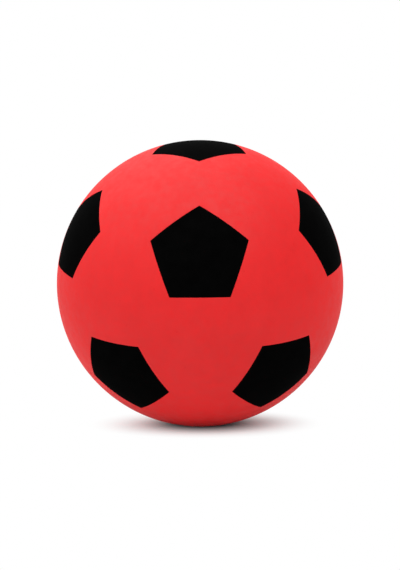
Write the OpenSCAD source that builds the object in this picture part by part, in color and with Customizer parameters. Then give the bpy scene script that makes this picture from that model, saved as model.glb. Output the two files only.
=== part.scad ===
// Foam soccer ball: a soft foam core, a closed red skin over it, and twelve black
// pentagons let into the skin, flush with its surface. Millimetres, centre at the origin.

/* [Ball] */
// Outside diameter of the ball
ball_d = 200; // [150:1:260]
// Thickness of the red skin that runs on beneath each pentagon
skin_floor_t = 1.2; // [0.6:0.1:4]

/* [Pentagons] */
// Straight distance between neighbouring corners of a pentagon, on the outer surface
pentagon_edge = 39.5; // [20:0.5:50]
// Thickness of a black pentagon
pentagon_t = 0.8; // [0.4:0.1:3]

/* [Assembly] */
// Gap left for the bond between pieces that are fixed to each other
bond_gap = 0.1; // [0.05:0.01:0.3]
// How far the axis of the front pentagon looks up, in degrees
front_tilt = 13.8; // [-20:0.1:30]

/* [Hidden] */
$fn = 160;
sides = 5;
sector = 360 / sides;
// Angle between the axes of two neighbouring pentagons, as on an icosahedron
ring_angle = atan(2);

ball_r = ball_d / 2;
pocket_depth = pentagon_t + bond_gap;
skin_inner_r = ball_r - pocket_depth - skin_floor_t;
core_r = skin_inner_r - bond_gap;
// How far a pocket's cutter runs on past the surface of the ball
cutter_over = 5;

// Six pentagons look forward and six look back. In each six, the first lies on the axis
// and the rest stand round it. Left and right are as seen from the front.
PENTAGONS = [
    "front_pentagon",
    "top_pentagon",
    "upper_left_pentagon",
    "lower_left_pentagon",
    "lower_right_pentagon",
    "upper_right_pentagon",
    "rear_pentagon",
    "bottom_pentagon",
    "rear_lower_left_pentagon",
    "rear_upper_left_pentagon",
    "rear_upper_right_pentagon",
    "rear_lower_right_pentagon"
];
group_size = sides + 1;

// Angle between a pentagon's axis and the line from the ball's centre to one of its corners
function corner_angle(edge) = asin(edge / (2 * sin(sector / 2)) / ball_r);

// Edge of a pentagon whose sides have all moved out by a gap
function grown_edge(edge, gap) = edge + 2 * gap * tan(sector / 2);

// A sphere whose poles lie off the +Z axis, so that a pentagon there is a plain patch of it
module ball(r) {
    rotate([90, 0, 0]) sphere(r);
}

// A five-sided cone from the ball's centre. Its flat sides meet the ball in great circles.
module pentagon_cone(edge) {
    reach = ball_r + cutter_over;
    cylinder(h = reach, r1 = 0, r2 = reach * tan(corner_angle(edge)), $fn = sides);
}

// Turns a pentagon on the +Z axis, with a corner towards +X, to its place in the pattern
module at_seat(index) {
    place = index % group_size;
    looks_back = index >= group_size;
    rotate([90 - front_tilt, 0, 0])
        rotate([0, 0, 90])
            rotate([0, looks_back ? 180 : 0, 0])
                if (place == 0) {
                    children();
                } else {
                    rotate([0, 0, sector * (place - 1)])
                        rotate([0, ring_angle, 0])
                            rotate([0, 0, 180])
                                children();
                }
}

module foam_core() {
    color("lightyellow") ball(core_r);
}

// The room that one pentagon and its bond take in the skin
module pentagon_pocket() {
    difference() {
        pentagon_cone(grown_edge(pentagon_edge, bond_gap));
        ball(ball_r - pocket_depth);
    }
}

module red_skin() {
    color("crimson") difference() {
        ball(ball_r);
        ball(skin_inner_r);
        for (index = [0:len(PENTAGONS) - 1]) at_seat(index) pentagon_pocket();
    }
}

module black_pentagon(index) {
    color("black") at_seat(index) difference() {
        intersection() {
            ball(ball_r);
            pentagon_cone(pentagon_edge);
        }
        ball(ball_r - pentagon_t);
    }
}

foam_core();
red_skin();
for (index = [0:len(PENTAGONS) - 1])
    black_pentagon(index);
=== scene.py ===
# %% [markdown]
# # A foam soccer ball
# The real ball is a soft foam core under a closed red skin, with twelve black pentagons lying
# flush in that skin. The solids of the part are loaded first. They stay fixed, and every piece
# made here takes its size and its place from them, so nothing has to be fitted by eye.

# %% Load the part
from math import asin, cos, degrees, pi, radians, sin, tan

import bpy
from mathutils import Matrix, Vector


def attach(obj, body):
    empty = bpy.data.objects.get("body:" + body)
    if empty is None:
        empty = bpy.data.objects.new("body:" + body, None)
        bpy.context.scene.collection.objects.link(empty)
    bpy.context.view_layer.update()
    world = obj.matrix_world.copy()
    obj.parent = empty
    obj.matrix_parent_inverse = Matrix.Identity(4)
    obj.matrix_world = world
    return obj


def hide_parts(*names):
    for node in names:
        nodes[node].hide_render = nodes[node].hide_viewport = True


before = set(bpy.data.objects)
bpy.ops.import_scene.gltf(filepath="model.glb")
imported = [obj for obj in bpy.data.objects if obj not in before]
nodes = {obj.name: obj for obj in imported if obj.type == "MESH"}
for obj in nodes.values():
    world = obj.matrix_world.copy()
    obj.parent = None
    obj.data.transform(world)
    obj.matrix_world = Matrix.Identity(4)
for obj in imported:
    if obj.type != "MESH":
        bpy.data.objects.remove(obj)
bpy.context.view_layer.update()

# %% [markdown]
# ## Measure the ball
# A soccer pattern needs few numbers: the radius, the angle between two neighbouring pentagons,
# and how wide one pentagon opens as seen from the centre. They could be typed in again, but
# measuring them on the solids keeps both models alike when a size changes.

# %% Measure the solids
MM = 0.001


def reaches(node):
    """How far each corner of a solid's mesh lies from the ball's centre."""
    return [vertex.co.length for vertex in nodes[node].data.vertices]


def axis_of(node):
    """The direction from the ball's centre to the middle of a solid."""
    total = Vector()
    for face in nodes[node].data.polygons:
        total += face.area * face.center
    return total.normalized()


front_axis = axis_of("front_pentagon")
top_axis = axis_of("top_pentagon")
neighbour_angle = front_axis.angle(top_axis)
corner_angle = max(front_axis.angle(vertex.co) for vertex in nodes["front_pentagon"].data.vertices)

ball_r = max(reaches("front_pentagon"))
panel_t = ball_r - min(reaches("front_pentagon"))
skin_inner_r = min(reaches("red_skin"))
core_r = max(reaches("foam_core"))
bond_gap = skin_inner_r - core_r

print("radius, panel and gap in mm:", [round(size / MM, 2) for size in (ball_r, panel_t, bond_gap)])
print("angle to a neighbour in degrees:", round(degrees(neighbour_angle), 2))
print("angle to a corner in degrees:", round(degrees(corner_angle), 2))

# %% [markdown]
# ## Three habits
# An operator works on whatever is selected, so a piece is picked alone before any work on it.
# A modifier is only a recipe until it is applied, and a finished piece carries no recipes.
# A new object is named at once, before the next one takes its place as the active one.


# %% Pick a piece, apply a modifier, name a piece
def pick(piece):
    """Selects one object and makes it the active one."""
    bpy.ops.object.select_all(action="DESELECT")
    piece.select_set(True)
    bpy.context.view_layer.objects.active = piece


def keep_modifier(piece, modifier):
    """Turns a modifier's result into the piece's own mesh."""
    pick(piece)
    bpy.ops.object.modifier_apply(modifier=modifier.name)


def name_piece(name):
    """Names the object that was just added, and gives it back."""
    piece = bpy.context.object
    piece.name = name
    piece.data.name = name
    return piece


bpy.ops.object.select_all(action="DESELECT")
print("selected:", len(bpy.context.selected_objects))

# %% [markdown]
# ## The pattern on the skin
# Twelve pentagons sit where an icosahedron has its twelve corners. So the skin starts as the
# coarsest ico sphere, turned until one corner looks where the front pentagon looks, and a
# vertex bevel cuts every corner off. That leaves twelve pentagons and, between them, twenty
# hexagons. The bevel is given as a share of an edge, which follows from the corner angle.
# The seats are a hair wider than the pentagons, by the gap that the bond needs.

# %% Cut the corners off an ico sphere
SIDES = 5
side_axis = front_axis.cross(top_axis).normalized()
up_axis = side_axis.cross(front_axis)
pattern_turn = Matrix((up_axis, side_axis, front_axis)).transposed()

corner_r = ball_r * sin(corner_angle)
seat_angle = asin((corner_r + bond_gap / cos(pi / SIDES)) / ball_r)
edge_share = tan(seat_angle) / (sin(neighbour_angle) + tan(seat_angle) * (1 - cos(neighbour_angle)))

bpy.ops.mesh.primitive_ico_sphere_add(subdivisions=1, radius=ball_r, rotation=pattern_turn.to_euler())
skin = name_piece("ball_skin")
bpy.ops.object.transform_apply(location=False, rotation=True, scale=False)
bpy.ops.object.mode_set(mode="EDIT")
bpy.ops.mesh.select_all(action="SELECT")
bpy.ops.mesh.bevel(offset_type="PERCENT", offset_pct=100 * edge_share, affect="VERTICES")
bpy.ops.object.mode_set(mode="OBJECT")
print("faces after the bevel:", len(skin.data.polygons), "edge share", round(edge_share, 4))

# %% [markdown]
# ## Remember which faces are pentagons
# Rounding the ball will split every face into hundreds, and the seats must still be found
# afterwards. A material slot is a simple memory: new faces take the slot of the face they came
# from. The second slot marks the seats here and is removed when they have been sunk.

# %% Mark the seats with a second slot
SEAT_SLOT = 1
bpy.ops.object.material_slot_add()
bpy.ops.object.material_slot_add()
bpy.ops.object.mode_set(mode="EDIT")
bpy.ops.mesh.select_mode(type="FACE")
bpy.ops.mesh.select_face_by_sides(number=SIDES, type="EQUAL", extend=False)
skin.active_material_index = SEAT_SLOT
bpy.ops.object.material_slot_assign()
bpy.ops.object.mode_set(mode="OBJECT")
print("seats marked:", sum(face.material_index == SEAT_SLOT for face in skin.data.polygons))

# %% [markdown]
# ## Make it round
# The flat faces are poked into triangles, cut finely, and a Cast modifier pushes every point out
# to the ball's radius. A subdivision surface would round the pattern's corners as well, but a
# point that is pushed straight out from the centre keeps the pentagons' edges as great
# circles, which is how they run on the real ball.

# %% Poke, cut and cast
CUTS = 17


def round_off(piece):
    """Cuts a piece's flat faces finely and pushes them out to the ball's surface."""
    pick(piece)
    bpy.ops.object.mode_set(mode="EDIT")
    bpy.ops.mesh.select_all(action="SELECT")
    bpy.ops.mesh.poke()
    bpy.ops.mesh.subdivide(number_cuts=CUTS)
    bpy.ops.object.mode_set(mode="OBJECT")
    cast = piece.modifiers.new("round", "CAST")
    cast.cast_type = "SPHERE"
    cast.factor = 1.0
    cast.use_radius_as_size = False
    cast.size = ball_r
    keep_modifier(piece, cast)


round_off(skin)
print("skin faces:", len(skin.data.polygons))

# %% [markdown]
# ## Sink the seats
# Each pentagon lies in a shallow seat, so the marked faces are extruded and drawn towards the
# ball's centre by the panel's thickness and the gap beneath it. An inset would draw the seats'
# edges in, while scaling about the ball's centre leaves the edges where they are on the surface.
# The marks have done their work then, and their slot goes.

# %% Extrude the seats
seat_scale = (ball_r - panel_t - bond_gap) / ball_r

pick(skin)
bpy.ops.object.mode_set(mode="EDIT")
bpy.ops.mesh.select_all(action="DESELECT")
skin.active_material_index = SEAT_SLOT
bpy.ops.object.material_slot_select()
bpy.ops.mesh.extrude_region()
bpy.ops.transform.resize(value=(seat_scale,) * 3, center_override=(0, 0, 0))
bpy.ops.object.mode_set(mode="OBJECT")
skin.active_material_index = SEAT_SLOT
bpy.ops.object.material_slot_remove()
print("skin faces with seats:", len(skin.data.polygons))

# %% [markdown]
# ## Close the skin from inside
# The skin is a shell, not a solid ball. A Solidify modifier would copy the seats to the inside as
# well, but the real skin lies on a round core. So a second, smaller ball is added to the same
# mesh and turned inside out. The seats' walls stay sharp, and all the rest is shaded smooth.

# %% Add the inner wall
WALL_LEVEL = 6
SHARP_ANGLE = radians(35)

bpy.ops.object.mode_set(mode="EDIT")
bpy.ops.mesh.select_all(action="DESELECT")
bpy.ops.mesh.primitive_ico_sphere_add(subdivisions=WALL_LEVEL, radius=skin_inner_r)
bpy.ops.mesh.flip_normals()
bpy.ops.object.mode_set(mode="OBJECT")
bpy.ops.object.shade_smooth_by_angle(angle=SHARP_ANGLE)
print("skin faces with the inner wall:", len(skin.data.polygons))

# %% [markdown]
# ## One black pentagon
# A pentagon is a thin curved tile. It starts as a filled circle with five corners, placed so that
# the corners already touch the ball's surface, and is rounded in the same way as the skin.
# Solidify then gives it its thickness, inwards only, so its face stays flush with the skin.

# %% Model the front panel
panel_turn = pattern_turn @ Matrix.Rotation(-pi / 2, 3, "Z")
bpy.ops.object.select_all(action="DESELECT")
bpy.ops.mesh.primitive_circle_add(
    vertices=SIDES,
    radius=corner_r,
    fill_type="NGON",
    location=front_axis * ball_r * cos(corner_angle),
    rotation=panel_turn.to_euler(),
)
front_panel = name_piece("front_panel")
bpy.ops.object.transform_apply(location=True, rotation=True, scale=False)
round_off(front_panel)
solidify = front_panel.modifiers.new("thickness", "SOLIDIFY")
solidify.thickness = panel_t
solidify.offset = -1
keep_modifier(front_panel, solidify)
bpy.ops.object.shade_smooth_by_angle(angle=SHARP_ANGLE)
print("panel faces:", len(front_panel.data.polygons))

# %% [markdown]
# ## Twelve from one
# The pattern looks the same after half a turn about a line midway between two pentagons, and
# that turn swaps the two. So one half turn brings a copy of the front panel to any other
# seat, with its corners pointing the right way. The panel straight opposite has no such midway
# line, so there the turn goes about the side axis. A plain duplicate, unlike a linked one, gets
# a mesh of its own, and applying the turn puts it into that mesh.

# %% Copy the panel to every seat
panels = {"front_pentagon": front_panel}


def half_turn_to(axis):
    """Half a turn of the pattern that takes the front seat to the seat with this axis."""
    straight_opposite = front_axis.angle(axis) > pi - neighbour_angle / 2
    middle = side_axis if straight_opposite else front_axis + axis
    return Matrix.Rotation(pi, 3, middle).to_euler()


for node in sorted(nodes):
    if node.endswith("_pentagon") and node not in panels:
        pick(front_panel)
        bpy.ops.object.duplicate(linked=False)
        panel = name_piece(node.replace("_pentagon", "_panel"))
        panel.rotation_euler = half_turn_to(axis_of(node))
        bpy.ops.object.transform_apply(location=False, rotation=True, scale=False)
        panels[node] = panel
print("panels:", len(panels))

# %% [markdown]
# ## The foam core
# The core is hidden, but a cut through the ball would show it, and it is what makes the ball
# soft. It is a fine ico sphere whose surface is eaten into by small open cells. Sculpting them
# would never end, so a Displace modifier pulls the surface in wherever a cell texture is dark.
# Its middle level lies above the texture's brightest value, so no point of the core moves out.

# %% Model the core
CORE_LEVEL = 7
CELL_SIZE = 4 * MM
CELL_DEPTH = 0.9 * MM
BRIGHTEST = 1.2

bpy.ops.object.select_all(action="DESELECT")
bpy.ops.mesh.primitive_ico_sphere_add(subdivisions=CORE_LEVEL, radius=core_r)
core = name_piece("ball_core")
cells = bpy.data.textures.new("foam_cells", "VORONOI")
cells.noise_scale = CELL_SIZE
displace = core.modifiers.new("cells", "DISPLACE")
displace.texture = cells
displace.texture_coords = "LOCAL"
displace.mid_level = BRIGHTEST
displace.strength = CELL_DEPTH
keep_modifier(core, displace)
bpy.ops.object.shade_smooth()
core_reach = [vertex.co.length / MM for vertex in core.data.vertices]
print("core faces:", len(core.data.polygons))
print("core radius in mm:", round(min(core_reach), 2), "to", round(max(core_reach), 2))

# %% [markdown]
# ## Shader sums as sentences
# A finish is a small sum of noises. Joining Math nodes by hand hides the sum, so a socket is
# wrapped in a class that knows plus, minus and times, and writing the sum adds the nodes. Any
# other node comes from one method: first its settings, then the values or links of its sockets.


# %% A socket that can be summed
class Wire:
    """A shader socket that takes part in sums."""

    def __init__(self, socket):
        self.socket = socket

    @classmethod
    def node(cls, tree, kind, settings, sockets, output=0):
        """Adds a node with its settings and its sockets, and gives one output back."""
        made = tree.nodes.new(kind)
        for name, value in settings.items():
            setattr(made, name, value)
        for key, value in sockets.items():
            if isinstance(value, Wire):
                tree.links.new(value.socket, made.inputs[key])
            else:
                made.inputs[key].default_value = value
        return cls(made.outputs[output])

    def sum_node(self, operation, first, second):
        """Adds a Math node to the tree that this socket belongs to."""
        tree = self.socket.id_data
        return Wire.node(tree, "ShaderNodeMath", {"operation": operation}, {0: first, 1: second})

    def __add__(self, other):
        return self.sum_node("ADD", self, other)

    def __radd__(self, other):
        return self.sum_node("ADD", other, self)

    def __sub__(self, other):
        return self.sum_node("SUBTRACT", self, other)

    def __rsub__(self, other):
        return self.sum_node("SUBTRACT", other, self)

    def __mul__(self, other):
        return self.sum_node("MULTIPLY", self, other)

    def __rmul__(self, other):
        return self.sum_node("MULTIPLY", other, self)


operators = [name for name in vars(Wire) if name.endswith(("add__", "sub__", "mul__"))]
print("operators on a socket:", len(operators))

# %% [markdown]
# ## What the finishes are mixed from
# The ball's finishes share a few ingredients: soft lumps, round dots, a colour between two
# colours, and a relief. A noise spends most of its surface near the middle of its range, so it is
# stretched until its lumps show. All of them read the piece's own space, so nothing slides.


# %% Lumps, dots, blends and reliefs
NOISE_LOW, NOISE_HIGH = 0.3, 0.7
COLOUR_A, COLOUR_B, COLOUR_OUT = 6, 7, 2


def new_finish(name):
    """A new material, its node tree and its shader."""
    material = bpy.data.materials.new(name)
    material.use_nodes = True
    tree = material.node_tree
    return material, tree, tree.nodes["Principled BSDF"]


def grain(tree, size, detail=2.0):
    """A noise whose lumps are about this large on the piece, stretched to run from 0 to 1."""
    place = Wire.node(tree, "ShaderNodeTexCoord", {}, {}, "Object")
    lumps = {"Vector": place, "Scale": 1 / size, "Detail": detail}
    noise = Wire.node(tree, "ShaderNodeTexNoise", {}, lumps)
    stretch = {"Value": noise, "From Min": NOISE_LOW, "From Max": NOISE_HIGH}
    return Wire.node(tree, "ShaderNodeMapRange", {}, stretch)


def dots(tree, spacing, radius):
    """1 on scattered dots of about this radius, else 0."""
    place = Wire.node(tree, "ShaderNodeTexCoord", {}, {}, "Object")
    far = Wire.node(tree, "ShaderNodeTexVoronoi", {}, {"Vector": place, "Scale": 1 / spacing})
    sockets = {"Value": far, "From Max": radius / spacing, "To Min": 1.0, "To Max": 0.0}
    return Wire.node(tree, "ShaderNodeMapRange", {"interpolation_type": "SMOOTHSTEP"}, sockets)


def blend(tree, share, first, second):
    """A colour between two colours."""
    sockets = {0: share, COLOUR_A: (*first, 1.0), COLOUR_B: (*second, 1.0)}
    return Wire.node(tree, "ShaderNodeMix", {"data_type": "RGBA"}, sockets, COLOUR_OUT)


def relief(tree, height):
    """A normal that follows a height in metres."""
    return Wire.node(tree, "ShaderNodeBump", {}, {"Height": height, "Distance": 1.0})


def plug(tree, shader, **sockets):
    """Links what varies over the surface to the shader."""
    for name, wire in sockets.items():
        tree.links.new(wire.socket, shader.inputs[name.replace("_", " ")])


print("a noise is stretched from", (NOISE_LOW, NOISE_HIGH), "to", (0, 1))

# %% [markdown]
# ## The red skin's finish
# The skin is a closed, matte coat: a strong red with a soft, pale veil where the light falls on it
# from above. Foam is full of tiny bumps that throw light back in every direction, so its edges
# stay brighter than those of a smooth ball, and the diffuse roughness is turned up for that. The
# coat isn't one flat colour either. Foam that swells in a mould leaves faint mottles a few
# millimetres wide, and here and there a small pore, a pit whose darker colour is painted shade.
# Painting them into an image would take long and would stretch, so noises in the piece's own space make
# them, from the widest to the finest.

# %% Red finish
RED_DEEP = (0.776, 0.0002, 0.0010)
RED_BRIGHT = (0.854, 0.0098, 0.0114)
RED_GLOSS = 0.46
RED_ROUGHNESS = 0.60
RED_DIFFUSE_ROUGHNESS = 1.0
FINE_DETAIL = 3.0
BLOTCH_SIZE, BLOTCH_COLOUR = 16 * MM, 0.3
MOTTLE_SIZE, MOTTLE_COLOUR, MOTTLE_ROUGHNESS, MOTTLE_DEPTH = 5 * MM, 0.5, 0.15, 0.07 * MM
GRAIN_SIZE, GRAIN_COLOUR, GRAIN_ROUGHNESS, GRAIN_DEPTH = 0.9 * MM, 0.2, 0.05, 0.03 * MM
# Each pore is sunk by the relief, and its colour share darkens the red inside it: painted shade.
PORE_SPACING, PORE_RADIUS, PORE_PAINTED_SHADE, PORE_DEPTH = 10 * MM, 1.1 * MM, 0.5, 0.05 * MM

red, tree, shader = new_finish("red_coat")
blotch = grain(tree, BLOTCH_SIZE)
mottle = grain(tree, MOTTLE_SIZE, FINE_DETAIL)
fine = grain(tree, GRAIN_SIZE, FINE_DETAIL)
pores = dots(tree, PORE_SPACING, PORE_RADIUS)
# Blotches, mottles and grain are the coat's own uneven tone; subtracting the pores paints shade into
# each pit.
brightness = BLOTCH_COLOUR * blotch + MOTTLE_COLOUR * mottle + GRAIN_COLOUR * fine - PORE_PAINTED_SHADE * pores
shader.inputs["Specular IOR Level"].default_value = RED_GLOSS
shader.inputs["Diffuse Roughness"].default_value = RED_DIFFUSE_ROUGHNESS
plug(
    tree,
    shader,
    Base_Color=blend(tree, brightness, RED_DEEP, RED_BRIGHT),
    Roughness=RED_ROUGHNESS + MOTTLE_ROUGHNESS * mottle + GRAIN_ROUGHNESS * fine,
    Normal=relief(tree, MOTTLE_DEPTH * mottle + GRAIN_DEPTH * fine - PORE_DEPTH * pores),
)
skin.data.materials.clear()
skin.data.materials.append(red)
print("red finish nodes:", len(tree.nodes))

# %% [markdown]
# ## The black pentagons' finish
# The black is deeper and more matte than the red: light that enters its fine grain hardly comes
# out again. So its gloss is turned far down, and only a breath of it is left for the rims. A
# dark grey with full gloss would be easier, but it would turn pale wherever it mirrors the room.

# %% Black finish
BLACK_DEEP = (0.0007, 0.0007, 0.0007)
BLACK_WORN = (0.0017, 0.0017, 0.0017)
BLACK_GLOSS = 0.003
BLACK_ROUGHNESS = 0.66
BLACK_BLOTCH_SIZE, BLACK_BLOTCH_COLOUR = 9 * MM, 0.5
BLACK_GRAIN_SIZE, BLACK_GRAIN_COLOUR = 0.7 * MM, 0.5
BLACK_GRAIN_ROUGHNESS, BLACK_GRAIN_DEPTH = 0.16, 0.03 * MM

black, tree, shader = new_finish("black_coat")
blotch = grain(tree, BLACK_BLOTCH_SIZE)
fine = grain(tree, BLACK_GRAIN_SIZE, FINE_DETAIL)
brightness = BLACK_BLOTCH_COLOUR * blotch + BLACK_GRAIN_COLOUR * fine
shader.inputs["Specular IOR Level"].default_value = BLACK_GLOSS
plug(
    tree,
    shader,
    Base_Color=blend(tree, brightness, BLACK_DEEP, BLACK_WORN),
    Roughness=BLACK_ROUGHNESS + BLACK_GRAIN_ROUGHNESS * fine,
    Normal=relief(tree, BLACK_GRAIN_DEPTH * fine),
)
for panel in panels.values():
    panel.data.materials.clear()
    panel.data.materials.append(black)
print("black finish nodes:", len(tree.nodes))

# %% [markdown]
# ## The core's finish
# Bare foam is cream coloured, and light is lost in its cells, so they look darker than the walls
# between them. The cells are already in the mesh, and the finish adds the smaller ones as a relief,
# with painted shade that darkens their low places.

# %% Foam finish
CREAM_DEEP = (0.55, 0.47, 0.30)
CREAM = (0.78, 0.72, 0.54)
CREAM_GLOSS = 0.1
CREAM_ROUGHNESS = 0.85
CREAM_BLOTCH_SIZE, CREAM_BLOTCH_COLOUR = 20 * MM, 0.4
# The small cells' colour share is painted shade: it darkens the cream where their relief sinks.
SMALL_CELL_SIZE, SMALL_CELL_PAINTED_SHADE = 1.2 * MM, 0.6
SMALL_CELL_ROUGHNESS, SMALL_CELL_DEPTH = 0.1, 0.2 * MM

foam, tree, shader = new_finish("core_foam")
blotch = grain(tree, CREAM_BLOTCH_SIZE)
small_cells = grain(tree, SMALL_CELL_SIZE)
# The blotches are the foam's own uneven tone; the small cells add painted shade in their low places.
brightness = CREAM_BLOTCH_COLOUR * blotch + SMALL_CELL_PAINTED_SHADE * small_cells
shader.inputs["Specular IOR Level"].default_value = CREAM_GLOSS
plug(
    tree,
    shader,
    Base_Color=blend(tree, brightness, CREAM_DEEP, CREAM),
    Roughness=CREAM_ROUGHNESS + SMALL_CELL_ROUGHNESS * small_cells,
    Normal=relief(tree, SMALL_CELL_DEPTH * small_cells),
)
core.data.materials.append(foam)
print("foam finish nodes:", len(tree.nodes))

# %% [markdown]
# ## Join the pieces to the part
# Each piece says which solid it stands for, whose finish it takes and what it moves with. The
# ball has no moving parts, so every piece rides on the one body.

# %% Ride and replace
pieces = {"foam_core": (core, "core_foam"), "red_skin": (skin, "red_skin")}
pieces.update({node: (panel, "black_pentagon") for node, panel in panels.items()})
for node, (piece, slot) in pieces.items():
    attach(piece, "root")
    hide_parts(node)
print("pieces joined:", len(pieces))

# %% [markdown] ## A floor to stand on The ball stands on white paper. A single large plane is
# enough, because its far edge never comes into view: the paper ends in white there, and so does
# the room.

# %% Lay the floor
FLOOR_SIZE = 12.0

bpy.ops.object.select_all(action="DESELECT")
bpy.ops.mesh.primitive_plane_add(size=FLOOR_SIZE, location=(0, 0, -ball_r))
floor = name_piece("floor")
print("floor at", round(floor.location.z / MM, 1), "mm")

# %% [markdown]
# ## Paper that keeps the shadow
# The paper carries the ball's own shadow near the ball. Further out, and only where the camera or a
# reflection looks at it, it goes over to pure white. More light would whiten it too, but would
# bleach the ball, and this way the light on the ball stays as it is.

# %% Paper finish
FLOOR_GREY = 0.95
FADE_CENTRE = Vector((3 * MM, 12 * MM, 0))
FADE_START, FADE_END = 14 * MM, 85 * MM


def seen_as_white(tree):
    """1 where the camera, a reflection or a view through glass meets the surface, else 0."""
    camera_ray = Wire.node(tree, "ShaderNodeLightPath", {}, {}, "Is Camera Ray")
    glossy_ray = Wire.node(tree, "ShaderNodeLightPath", {}, {}, "Is Glossy Ray")
    glass_ray = Wire.node(tree, "ShaderNodeLightPath", {}, {}, "Is Transmission Ray")
    return 1 - (1 - camera_ray) * (1 - glossy_ray) * (1 - glass_ray)


paper, tree, shader = new_finish("white_paper")
shader.inputs["Base Color"].default_value = (FLOOR_GREY, FLOOR_GREY, FLOOR_GREY, 1)
shader.inputs["Roughness"].default_value = 1.0
shader.inputs["Specular IOR Level"].default_value = 0.0
place = Wire.node(tree, "ShaderNodeTexCoord", {}, {}, "Object")
ends = {0: place, 1: FADE_CENTRE}
far = Wire.node(tree, "ShaderNodeVectorMath", {"operation": "DISTANCE"}, ends, "Value")
fade_sockets = {"Value": far, "From Min": FADE_START, "From Max": FADE_END}
fade = Wire.node(tree, "ShaderNodeMapRange", {"interpolation_type": "SMOOTHSTEP"}, fade_sockets)
white = Wire.node(tree, "ShaderNodeEmission", {}, {"Strength": 1.0})
lit = Wire(shader.outputs["BSDF"])
mixed = Wire.node(tree, "ShaderNodeMixShader", {}, {0: fade * seen_as_white(tree), 1: lit, 2: white})
tree.links.new(mixed.socket, tree.nodes["Material Output"].inputs["Surface"])
floor.data.materials.append(paper)
print("paper is white from", round(FADE_END / MM), "mm around the ball's foot")

# %% [markdown]
# ## A white room
# The room is seen as pure white, but a room that shone so strongly would wash out all shading.
# So the world gives the ball only a fifth of that light, and full white to the camera, to
# reflections and to views through glass.

# %% Room light
SKY_LIGHT = 0.20

world = bpy.data.worlds.new("white_studio")
bpy.context.scene.world = world
world.use_nodes = True
tree = world.node_tree
sky = tree.nodes["Background"]
sky.inputs["Color"].default_value = (1, 1, 1, 1)
plug(tree, sky, Strength=SKY_LIGHT + (1 - SKY_LIGHT) * seen_as_white(tree))
print("room light:", SKY_LIGHT)

# %% [markdown]
# ## Three soft lights
# A large softbox hangs in front of the ball, above and a little to the right, a weaker one to the
# left, and the weakest behind. They light the top more than the underside and lay a pale veil on
# the upper left. Straight overhead they would be simpler to hang, but standing around the ball
# they also reach in under it, which keeps its shadow small. The white room does the rest.

# %% Softboxes
BOX_SIZE = 1.0


def hang_softbox(name, place, power):
    """Hangs a square softbox at a place, looking at the ball."""
    lamp = bpy.data.lights.new(name, "AREA")
    lamp.size = BOX_SIZE
    lamp.energy = power
    softbox = bpy.data.objects.new(name, lamp)
    softbox.location = place
    softbox.rotation_euler = place.to_track_quat("Z", "Y").to_euler()
    softbox.visible_camera = False
    bpy.context.collection.objects.link(softbox)
    print(name, "at", [round(value, 2) for value in place], "power", power, "W")


hang_softbox("front_softbox", place=Vector((0.29, -0.60, 1.06)), power=11.8)
hang_softbox("left_softbox", place=Vector((-0.79, -0.35, 0.90)), power=8.0)
hang_softbox("back_softbox", place=Vector((-0.28, 0.50, 1.11)), power=5.7)

# %% [markdown]
# ## The lens
# The photograph was taken from a little over a metre, so the outline is a touch smaller than the
# ball itself. The distance is given in ball radii and the lens by how large the ball appears,
# which keeps the picture the same if the ball's size changes. The ball isn't quite in the middle
# of the picture, and a small lens shift does that without turning the camera.

# %% Lens and shift
IMAGE_W, IMAGE_H = 400, 570
BALL_IN_IMAGE = Vector((200.1, 283.3))
BALL_R_IN_IMAGE = 143.3
CAMERA_DISTANCE = 12.74 * ball_r
SENSOR = 36.0

lens = bpy.data.cameras.new("camera")
half_view = asin(ball_r / CAMERA_DISTANCE)
lens.sensor_width = SENSOR
lens.lens = SENSOR * BALL_R_IN_IMAGE / tan(half_view) / IMAGE_H
lens.shift_x = (IMAGE_W / 2 - BALL_IN_IMAGE.x) / IMAGE_H
lens.shift_y = (BALL_IN_IMAGE.y - IMAGE_H / 2) / IMAGE_H
print("lens", round(lens.lens, 1), "mm at", round(CAMERA_DISTANCE, 3), "m")

# %% [markdown]
# ## The camera's place
# The camera stands nearly level with the ball, three degrees up, and looks at its centre. The
# photograph leans by less than half a degree, and the camera is rolled by as much.

# %% Place and aim the camera
CAMERA_RISE = radians(3.0)
CAMERA_SIDE = radians(0.1)
CAMERA_ROLL = radians(-0.4)

camera = bpy.data.objects.new("camera", lens)
bpy.context.collection.objects.link(camera)
bpy.context.scene.camera = camera
level = cos(CAMERA_RISE)
back = Vector((sin(CAMERA_SIDE) * level, -cos(CAMERA_SIDE) * level, sin(CAMERA_RISE)))
camera.location = CAMERA_DISTANCE * back
aim = (-back).to_track_quat("-Z", "Y").to_matrix()
camera.rotation_euler = (aim @ Matrix.Rotation(CAMERA_ROLL, 3, "Z")).to_euler()
bpy.context.scene.view_settings.view_transform = "Standard"
print("camera at", [round(value, 3) for value in camera.location])
